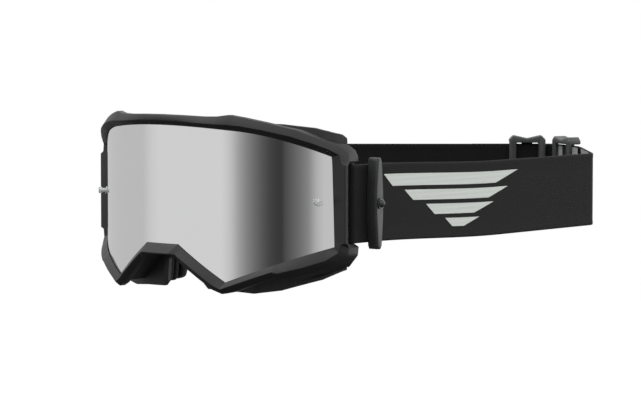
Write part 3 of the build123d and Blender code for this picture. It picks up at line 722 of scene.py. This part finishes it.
def shrink(piece, distance):
    piece.data.update()
    normals = [v.normal.copy() for v in piece.data.vertices]
    for vertex, normal in zip(piece.data.vertices, normals):
        vertex.co -= normal * distance
    piece.data.update()


class GOGGLES_OT_face_foam(Step, Operator):
    """Three layers of face foam, the last one fleece"""
    bl_idname = "goggles.face_foam"
    bl_label = "Face foam"

    def build(self, sizes, tones):
        layer = open_foam("cut polyurethane foam", tones.foam, 0.9 * MM, 0.25 * MM)
        for name, slot, inset in (("foam_base", "foam_base", 0.0), ("foam_middle", "foam_middle", 0.35)):
            pad = soft_copy(name, layer, slot)
            remesh(pad, 1.1 * MM)
            shrink(pad, inset * MM)
            self.relax(pad, 3)
            smooth(pad, 60)
        pad = soft_copy("foam_fleece", fleece(tones.fleece), "fleece")
        remesh(pad, 2.2 * MM)
        shrink(pad, 0.5 * MM)
        puff(pad, 3.0, 0.8 * MM)
        self.relax(pad, 5)
        fine = pad.modifiers.new("fine", "SUBSURF")
        fine.levels = fine.render_levels = 1
        apply_modifiers(pad)
        smooth(pad, 180)

    def relax(self, pad, times):
        """Even out the pad's points, so that its edges round off."""
        with mesh_edit(pad) as work:
            for _ in range(times):
                bmesh.ops.smooth_vert(work, verts=work.verts, factor=0.5, use_axis_x=True, use_axis_y=True,
                                      use_axis_z=True)


class GOGGLES_OT_vent_foam(Step, Operator):
    """Thin open foam behind the vents"""
    bl_idname = "goggles.vent_foam"
    bl_label = "Vent foam"

    def build(self, sizes, tones):
        material = open_foam("reticulated vent foam", tones.foam, sizes.foam_cell, 0.6 * MM)
        for name in ("vent_foam_top", "vent_foam_low_left", "vent_foam_low_right"):
            pad = soft_copy(name, material, "vent_foam")
            bevel(pad, 0.4 * MM, 2, 50)
            smooth(pad, 50)


# The strap


def at(place):
    """X and setback as a plan vector in millimetres."""
    return Vector((place[0], LENS_FRONT + place[1]))


def arc_through(centre, radius, start, end, count):
    """Points on a circle in plan from one angle to another, in degrees."""
    angles = [math.radians(start + (end - start) * i / count) for i in range(count + 1)]
    return [centre + Vector((math.cos(a), math.sin(a))) * radius for a in angles]


def rounded(points, radii):
    """A plan route whose inner corners are tangent arcs."""
    route = [points[0]]
    for before, corner, after, radius in zip(points, points[1:], points[2:], radii):
        way_in = (corner - before).normalized()
        way_out = (after - corner).normalized()
        turn = way_in.angle_signed(way_out)
        reach = abs(radius * math.tan(turn / 2))
        start = corner - way_in * reach
        side = Vector((way_in.y, -way_in.x)) * (1 if turn > 0 else -1)
        centre = start + side * radius
        spoke = start - centre
        count = max(4, math.ceil(abs(math.degrees(turn)) / 5))
        for i in range(count + 1):
            angle = -turn * i / count
            cos, sin = math.cos(angle), math.sin(angle)
            route.append(centre + Vector((spoke.x * cos - spoke.y * sin, spoke.x * sin + spoke.y * cos)))
    route.append(points[-1])
    return route


def fine_route(route, longest):
    """The same route with no step longer than that."""
    dense = []
    for a, b in zip(route, route[1:]):
        count = max(1, math.ceil((b - a).length / longest))
        dense += [a.lerp(b, i / count) for i in range(count)]
    dense.append(route[-1])
    return dense


def folded_end(side, thick):
    """Inner layer, then round the post, as plan points: the band's folded end."""
    wrap = POST_RADIUS + CLEARANCE + thick / 2
    layer = thick + CLEARANCE
    inner = POST[0] + wrap - layer
    centre = at((POST[0], POST[1]))
    route = [at((inner, TAIL_SETBACK)), at((inner, LOCK_SETBACK - 5.5)), at((POST[0] - wrap, POST[1] + 3))]
    route = [route[0], *rounded(route, [6.0])[1:-1], route[2]]
    route += arc_through(centre, wrap, 180, 360, 18)
    return [Vector((side * p.x, p.y)) for p in route]


def moved_aside(points, distance):
    """Corners of a route moved to its right by distance."""
    moved = []
    for i, point in enumerate(points):
        first = (point - points[i - 1]).normalized() if i else (points[1] - point).normalized()
        second = (points[i + 1] - point).normalized() if i < len(points) - 1 else first
        normal = Vector((first.y + second.y, -(first.x + second.x))) / 2
        moved.append(point + normal * distance / normal.length_squared)
    return moved


def band_routes(thick):
    """Plan routes of the left and right bands."""
    layer = thick + CLEARANCE
    fold, bend, side = at(FOLD), at(BEND), at(SIDE)
    end = bend + (side - bend).normalized() * 52.0
    left = folded_end(1, thick) + rounded([at((FOLD[0], POST[1])), fold, bend, end], [8.0, 6.0])[1:]
    corners = [at((SIDE[0], POST[1])), side, bend, bend + (fold - bend).normalized() * 36.0]
    shifted = moved_aside(corners, layer)
    share = (SIDE[0] - shifted[1].x) / (shifted[2].x - shifted[1].x)
    shifted[0] = corners[0]
    shifted[1] = shifted[1].lerp(shifted[2], share)
    right = folded_end(-1, thick) + rounded(shifted, [100.0, 6.0 - layer])[1:]
    return fine_route(left, 6.0), fine_route(right, 6.0)


def band_section(width, thick):
    """Section of the band: rounded selvedges a little thicker than the middle. Offset and height."""
    half, deep = width / 2, thick / 2
    rows = [(deep * 0.35, half), (deep * 0.85, half - 0.25), (deep, half - 0.9), (deep, half - 2.2),
            (deep * 0.86, half - 2.9)]
    middle = [(deep * 0.86, z) for z in (half * 0.5, 0.0, -half * 0.5)]
    face = rows + middle + [(o, -z) for o, z in reversed(rows)]
    return face + [(-o, z) for o, z in reversed(face)]


def sweep(name, route, section, material):
    """A band swept along a plan route, with a UV map in metres along and across it."""
    points = []
    lengths = [0.0]
    for i, spot in enumerate(route):
        before = route[max(i - 1, 0)]
        after = route[min(i + 1, len(route) - 1)]
        way = (after - before).normalized()
        points += [(spot.x + way.y * o, spot.y - way.x * o, z) for o, z in section]
        if i:
            lengths.append(lengths[-1] + (spot - route[i - 1]).length)
    count = len(section)
    last = count * (len(route) - 1)
    faces = tube_faces(len(route), count) + [tuple(range(count)), tuple(range(last, last + count))]
    band = make_piece(name, points, faces, material)
    layer = band.data.uv_layers.new(name="UVMap")
    for loop in band.data.loops:
        ring, row = divmod(loop.vertex_index, count)
        layer.data[loop.index].uv = (lengths[ring] * MM, section[row][1] * MM)
    smooth(band, 50)
    return band


class GOGGLES_OT_strap(Step, Operator):
    """Elastic strap: a long band from the left post and one from the right"""
    bl_idname = "goggles.strap"
    bl_label = "Strap"

    def build(self, sizes, tones):
        width, thick = sizes.band_width / MM, sizes.band_thick / MM
        material = webbing("woven black elastic", tones.strap, sizes.rib_pitch)
        section = band_section(width, thick)
        for route, name in zip(band_routes(thick), ("band_left", "band_right")):
            band = sweep(name + "_elastic", route, section, material)
            hang(band)
            settle(band, "strap_elastic", name)


def slab(name, outline, place, across, thick, material):
    """A thin flat print: an outline of (along, up) points, on a plan place and direction, facing outward."""
    outward = Vector((across.y, -across.x))
    points = []
    for level in (0.0, thick):
        for along, up in outline:
            spot = place + across * along + outward * level
            points.append((spot.x, spot.y, up))
    count = len(outline)
    faces = [tuple(range(count)), tuple(range(count, 2 * count))] + tube_faces(2, count)
    return make_piece(name, points, faces, material)


def joined(name, pieces):
    """Several meshes as one object."""
    work = bmesh.new()
    for piece in pieces:
        work.from_mesh(piece.data)
    whole = pieces[0]
    work.to_mesh(whole.data)
    work.free()
    for piece in pieces[1:]:
        bpy.data.objects.remove(piece)
    whole.name = name
    return whole


# Slanted bars of the print on each side, as (start, end, low, high, slant, taper) along the strap and up, mm
PRINT_BARS = [
    (1.0, 129.0, 9.0, 16.0, 8.0, 14.0),
    (20.0, 119.0, 0.5, 6.5, 8.0, 11.0),
    (40.0, 105.0, -8.0, -2.0, 8.0, 11.0),
    (58.0, 91.0, -15.5, -10.5, 7.0, 8.0),
]
FAR_PRINT = 0.38  # length of the far side's print as a share of the near side's
PRINT_START = 84.0  # setback where the print starts
PATCHES = [(5.5, 15.6, 0.8), (16.8, 31.0, 2.55), (37.0, 47.0, 2.55)]  # start and end past the fold, inward
PATCH_MARGIN = 0.6  # band left bare above and below a patch
PATCH_THICK = 0.25


class GOGGLES_OT_strap_print(Step, Operator):
    """Plain slanted bars printed on both sides of the strap, and the woven patches at the back"""
    bl_idname = "goggles.strap_print"
    bl_label = "Strap print"

    def build(self, sizes, tones):
        material = rubber_print(tones.print)
        face = POST[0] + POST_RADIUS + CLEARANCE + BAND_THICK
        bars = []
        for side in (1, -1):
            way = Vector((0, side))
            start = at((side * face, PRINT_START))
            for first, last, low, high, slant, taper in PRINT_BARS:
                outline = [(first, high), (first + slant, low), (last - taper - slant, low), (last, high)]
                if side < 0:
                    outline = [(-a * FAR_PRINT, z) for a, z in outline]
                bars.append(slab("bar", outline, start, way, sizes.print_thick / MM, material))
        mark = joined("strap_print", bars)
        self.divide(mark)
        hang(mark)
        settle(mark, "silicone")
        self.patches(tones, sizes)

    def divide(self, piece):
        """Cut the bars across every few millimetres, so that they follow the strap."""
        with mesh_edit(piece) as work:
            for y in steps(45.0, 180.0, 5.0):
                bmesh.ops.bisect_plane(work, geom=work.verts[:] + work.edges[:] + work.faces[:],
                                       plane_co=(0, y * MM, 0), plane_no=(0, 1, 0))

    def patches(self, tones, sizes):
        """Light woven patches sewn to the inner face at the back."""
        weave = webbing("light grey woven patch", tones.patch, sizes.rib_pitch, 1.25)
        fold = at(FOLD)
        leg = (at(BEND) - fold).normalized()
        made = []
        half = sizes.band_width / MM / 2 - PATCH_MARGIN
        for first, last, inward in PATCHES:
            place = fold + leg * last + Vector((-leg.y, leg.x)) * inward
            outline = [(0, -half), (last - first, -half), (last - first, half), (0, half)]
            patch = slab("patch", outline, place, -leg, PATCH_THICK, weave)
            patch.data.uv_layers.new(name="UVMap")
            for loop in patch.data.loops:
                spot = patch.data.vertices[loop.vertex_index].co
                patch.data.uv_layers[0].data[loop.index].uv = (spot.xy.length, spot.z)
            made.append(patch)
        patch = joined("woven_patches", made)
        hang(patch)
        settle(patch, "strap_elastic")


def bead_tree():
    """Geometry Nodes tree that lays oval beads or stitches along the lines it is given."""
    tree = bpy.data.node_groups.new("beads along lines", "GeometryNodeTree")
    panel = tree.interface
    panel.new_socket("Geometry", in_out="OUTPUT", socket_type="NodeSocketGeometry")
    for name, kind in (("Lines", "Geometry"), ("Pitch", "Float"), ("Bead Size", "Vector"), ("Rings", "Int"),
                       ("Material", "Material")):
        panel.new_socket(name, in_out="INPUT", socket_type="NodeSocket" + kind)
    given = node(tree, "NodeGroupInput").outputs
    lines = node(tree, "GeometryNodeMeshToCurve", {"Mesh": given["Lines"]})
    spots = node(tree, "GeometryNodeResampleCurve", {
        "Curve": lines.outputs["Curve"], "Length": given["Pitch"]}, mode="LENGTH")
    tangent = node(tree, "GeometryNodeInputTangent").outputs["Tangent"]
    turn = node(tree, "FunctionNodeAlignRotationToVector", {"Vector": tangent}, axis="X")
    ball = node(tree, "GeometryNodeMeshUVSphere", {"Segments": 8, "Radius": 0.5, "Rings": given["Rings"]})
    laid = node(tree, "GeometryNodeInstanceOnPoints", {
        "Points": spots.outputs["Curve"], "Instance": ball.outputs["Mesh"],
        "Rotation": turn.outputs["Rotation"], "Scale": given["Bead Size"]})
    real = node(tree, "GeometryNodeRealizeInstances", {"Geometry": laid.outputs["Instances"]})
    painted = node(tree, "GeometryNodeSetMaterial", {
        "Geometry": real.outputs["Geometry"], "Material": given["Material"]})
    node(tree, "NodeGroupOutput", {"Geometry": painted.outputs["Geometry"]})
    return tree


def beads(name, lines, pitch, bead, rings, material):
    """Beads along lines given as pairs of points in millimetres."""
    tree = bpy.data.node_groups.get("beads along lines") or bead_tree()
    mesh = bpy.data.meshes.new(name)
    points = [Vector(p) * MM for line in lines for p in line]
    mesh.from_pydata(points, [(2 * i, 2 * i + 1) for i in range(len(lines))], [])
    piece = new_object(name, mesh)
    layout = piece.modifiers.new("beads", "NODES")
    layout.node_group = tree
    values = {"Pitch": pitch, "Bead Size": bead, "Rings": rings, "Material": material}
    for socket in tree.interface.items_tree:
        if socket.in_out == "INPUT" and socket.name in values:
            layout[socket.identifier] = values[socket.name]
    apply_modifiers(piece)
    smooth(piece, 60)
    return piece


BEAD = (0.0040, 0.0018, 0.0011)  # metres along the strap, up it and out of it
STITCH = (0.0019, 0.0005, 0.0005)
GRIP_ROWS = (-9.0, 0.0, 9.0)
GRIP_MARGIN = 2.2  # from the first bead's middle to the end of the row
STITCH_ROW = 2.0  # from one row of stitches to the next, and to the edges of the band


class GOGGLES_OT_grip_and_stitches(Step, Operator):
    """Silicone grip beads inside the strap, and the stitches that close its ends"""
    bl_idname = "goggles.grip_and_stitches"
    bl_label = "Grip and stitches"

    def build(self, sizes, tones):
        grip = silicone(tones.silicone)
        for side, name in ((1, "grip_lines_left"), (-1, "grip_lines_right")):
            low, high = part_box(name)
            x = (high[0] if side > 0 else low[0]) / MM
            start, end = low[1] / MM + GRIP_MARGIN, high[1] / MM - GRIP_MARGIN
            lines = [[(x, start, row), (x, end, row)] for row in GRIP_ROWS]
            piece = beads(name + "_beads", lines, sizes.bead_pitch, BEAD, sizes.bead_rings, grip)
            hang(piece)
            settle(piece, "silicone", name)
        thread = webbing("bonded polyester thread", tones.silicone, 0.4 * MM)
        half = sizes.band_width / MM / 2 - STITCH_ROW
        lines = []
        for x in (POST[0] + CLEARANCE, -POST[0] - CLEARANCE):
            for row in (1, 2):
                y = LENS_FRONT + TAIL_SETBACK - row * STITCH_ROW
                lines.append([(x, y, -half), (x, y, half)])
        stitches = beads("strap_stitches", lines, sizes.stitch_pitch, STITCH, BEAD_RINGS, thread)
        settle(stitches, "strap_elastic")


class GOGGLES_OT_strap_locks(Step, Operator):
    """Lock bars, ball-ended pegs and inner plates that close the strap round its posts"""
    bl_idname = "goggles.strap_locks"
    bl_label = "Strap locks"

    def build(self, sizes, tones):
        bar = moulded("glass-filled nylon", tones.lock, 0.34, 0.3 * MM, 0.015 * MM, light=1.35)
        peg = moulded("polished nylon", tones.lock, 0.25, 0.6 * MM, 0.008 * MM)
        for side in SIDES:
            refine("lock_bar_" + side, 0.12, bar, "lock_nylon", 28.0, side + "_lock_bar")
            refine("lock_peg_" + side, 0.0, peg, "peg_nylon", 40.0)
            refine("lock_plate_" + side, 0.25, bar, "lock_nylon", 40.0)


class GOGGLES_OT_tear_off_posts(Step, Operator):
    """Clear posts for tear-off films, and their washers"""
    bl_idname = "goggles.tear_off_posts"
    bl_label = "Tear-off posts"

    def build(self, sizes, tones):
        clear = clear_polycarbonate(tones.clear)
        for side in SIDES:
            refine("tear_off_post_" + side, 0.25, clear, "clear_post", 40.0)
            refine("post_washer_" + side, 0.15, clear, "clear_post", 40.0)


class GOGGLES_OT_sliders(Step, Operator):
    """Three-bar sliders that set the strap's length"""
    bl_idname = "goggles.sliders"
    bl_label = "Sliders"

    def build(self, sizes, tones):
        acetal = moulded("moulded black acetal", tones.slider, 0.36, 0.5 * MM, 0.01 * MM, light=1.3)
        for which in ("far", "near"):
            refine("slider_" + which, 0.9, acetal, "slider_acetal", 30.0, which + "_slider", 3)


# Stage: where the camera stands, the floor, and the soft light all round as (degrees from the front
# towards +X, brightness)
CAMERA_TARGET = (0.06935, 0.01769, -0.0020)
CAMERA_AZIMUTH = 40.0
CAMERA_ELEVATION = 4.106
CAMERA_DISTANCE = 1.9137
CAMERA_LENS = 188.6
FLOOR_HEIGHT = -0.30
FLOOR_RADIUS = 2.4
FLOOR_SIDES = 64
STUDIO = [(-180, 0.20), (-150, 0.25), (-140, 0.60), (-62, 0.62), (-53, 0.737), (-45, 0.79), (6, 0.79),
          (12, 0.657), (17.5, 0.44), (22.5, 0.279), (26.7, 0.186), (31, 0.117), (35.3, 0.072),
          (39.6, 0.051), (42.3, 0.05), (43, 0.079), (44, 0.086), (48.3, 0.141), (52.5, 0.205),
          (57, 0.303), (61.3, 0.533), (65.7, 0.657), (76, 0.657), (80, 0.66), (95, 1.1), (118, 1.3),
          (128, 2.4), (152, 2.4), (162, 0.40), (180, 0.20)]


def area_light(name, place, aim, width, height, power):
    lamp = bpy.data.lights.new(name, "AREA")
    lamp.shape = "RECTANGLE"
    lamp.size = width
    lamp.size_y = height
    lamp.energy = power
    holder = new_object(name, lamp)
    holder.location = place
    holder.rotation_euler = (Vector(aim) - Vector(place)).to_track_quat("-Z", "Y").to_euler()


def studio_world():
    """White to the camera; soft grey walls with one dark gap in front to the object."""
    world = bpy.data.worlds.new("studio")
    bpy.context.scene.world = world
    world.use_nodes = True
    tree = world.node_tree
    tree.nodes.clear()
    way = node(tree, "ShaderNodeSeparateXYZ", {
        "Vector": node(tree, "ShaderNodeTexCoord").outputs["Generated"]}).outputs
    angle = maths(tree, "ARCTAN2", way["X"], maths(tree, "MULTIPLY", way["Y"], -1.0))
    ramp = node(tree, "ShaderNodeValToRGB", {"Fac": spread(tree, angle, 0.0, 1.0, -math.pi, math.pi)})
    stops = ramp.color_ramp.elements
    while len(stops) < len(STUDIO):
        stops.new(0.5)
    for stop, (degrees, level) in zip(stops, STUDIO):
        stop.position = (degrees + 180) / 360
    for stop, (_, level) in zip(stops, STUDIO):
        stop.color = (level, level, level, 1)
    white = (1, 1, 1, 1)
    up = spread(tree, way["Z"], 0.0, 1.0, 0.15, 0.6)
    down = spread(tree, way["Z"], 0.0, 1.0, -0.14, -0.45)
    sky = blended(tree, up, ramp.outputs["Color"], white)
    room = blended(tree, down, sky, (0.10, 0.10, 0.10, 1))
    seen = node(tree, "ShaderNodeLightPath").outputs["Is Camera Ray"]
    back = node(tree, "ShaderNodeBackground", {"Color": blended(tree, seen, room, white), "Strength": 1.0})
    node(tree, "ShaderNodeOutputWorld", {"Surface": back.outputs["Background"]})


class GOGGLES_OT_stage(Step, Operator):
    """Pale floor, soft light and the camera"""
    bl_idname = "goggles.stage"
    bl_label = "Stage"

    def build(self, sizes, tones):
        bpy.context.scene.view_settings.view_transform = "Standard"
        studio_world()
        self.floor(tones.floor)
        area_light("top softbox", (-0.2, -0.5, 1.3), (0, 0.1, 0), 1.4, 1.0, 5.0)
        area_light("back softbox", (0.6, 1.6, 0.9), (0, 0.1, 0), 1.2, 0.8, 4.0)
        self.camera()

    def floor(self, tone):
        """A round floor that only the camera sees, lit from within so that it reads as pale."""
        turns = [2 * math.pi * i / FLOOR_SIDES for i in range(FLOOR_SIDES)]
        radius = FLOOR_RADIUS / MM
        points = [(radius * math.cos(t), radius * math.sin(t), FLOOR_HEIGHT / MM) for t in turns]
        material, tree, coords = new_material("pale painted floor")
        drift = noise(tree, coords, 0.4, 2.0)
        surface(tree, {
            "Roughness": 0.9, "Emission Color": (1, 1, 1, 1), "Emission Strength": 0.75,
            "Base Color": tinted(tree, drift, tone, 0.98, 1.0)})
        floor = make_piece("floor", points, [tuple(range(FLOOR_SIDES))], material)
        floor.visible_diffuse = False
        floor.visible_glossy = False

    def camera(self):
        turn = math.radians(CAMERA_AZIMUTH)
        rise = math.radians(CAMERA_ELEVATION)
        back = Vector((math.sin(turn) * math.cos(rise), -math.cos(turn) * math.cos(rise), math.sin(rise)))
        view = bpy.data.cameras.new("camera")
        view.lens = CAMERA_LENS
        view.clip_start = 0.01
        view.clip_end = 50.0
        holder = new_object("camera", view)
        holder.location = Vector(CAMERA_TARGET) + back * CAMERA_DISTANCE
        holder.rotation_euler = (-back).to_track_quat("-Z", "Y").to_euler()
        bpy.context.scene.camera = holder


STEPS = Step.__subclasses__()  # in the order in which they stand above


class GOGGLES_PT_panel(bpy.types.Panel):
    """The goggles' pieces, sizes and colours"""
    bl_idname = "GOGGLES_PT_panel"
    bl_label = "Off-road goggles"
    bl_space_type = "VIEW_3D"
    bl_region_type = "UI"
    bl_category = "Goggles"

    def draw(self, context):
        layout = self.layout
        for step in STEPS:
            layout.operator(step.bl_idname)
        for group in (context.scene.goggles_sizes, context.scene.goggles_colours):
            box = layout.box()
            for name in group.bl_rna.properties.keys():
                if name not in ("rna_type", "name"):
                    box.prop(group, name)


CLASSES = (GogglesSizes, GogglesColours, *STEPS, GOGGLES_PT_panel)


def register():
    for made in CLASSES:
        bpy.utils.register_class(made)
    bpy.types.Scene.goggles_sizes = PointerProperty(type=GogglesSizes)
    bpy.types.Scene.goggles_colours = PointerProperty(type=GogglesColours)


def unregister():
    del bpy.types.Scene.goggles_sizes
    del bpy.types.Scene.goggles_colours
    for made in reversed(CLASSES):
        bpy.utils.unregister_class(made)


def main():
    register()
    for step in STEPS:
        group, name = step.bl_idname.split(".")
        getattr(getattr(bpy.ops, group), name)()


if __name__ == "__main__":
    main()
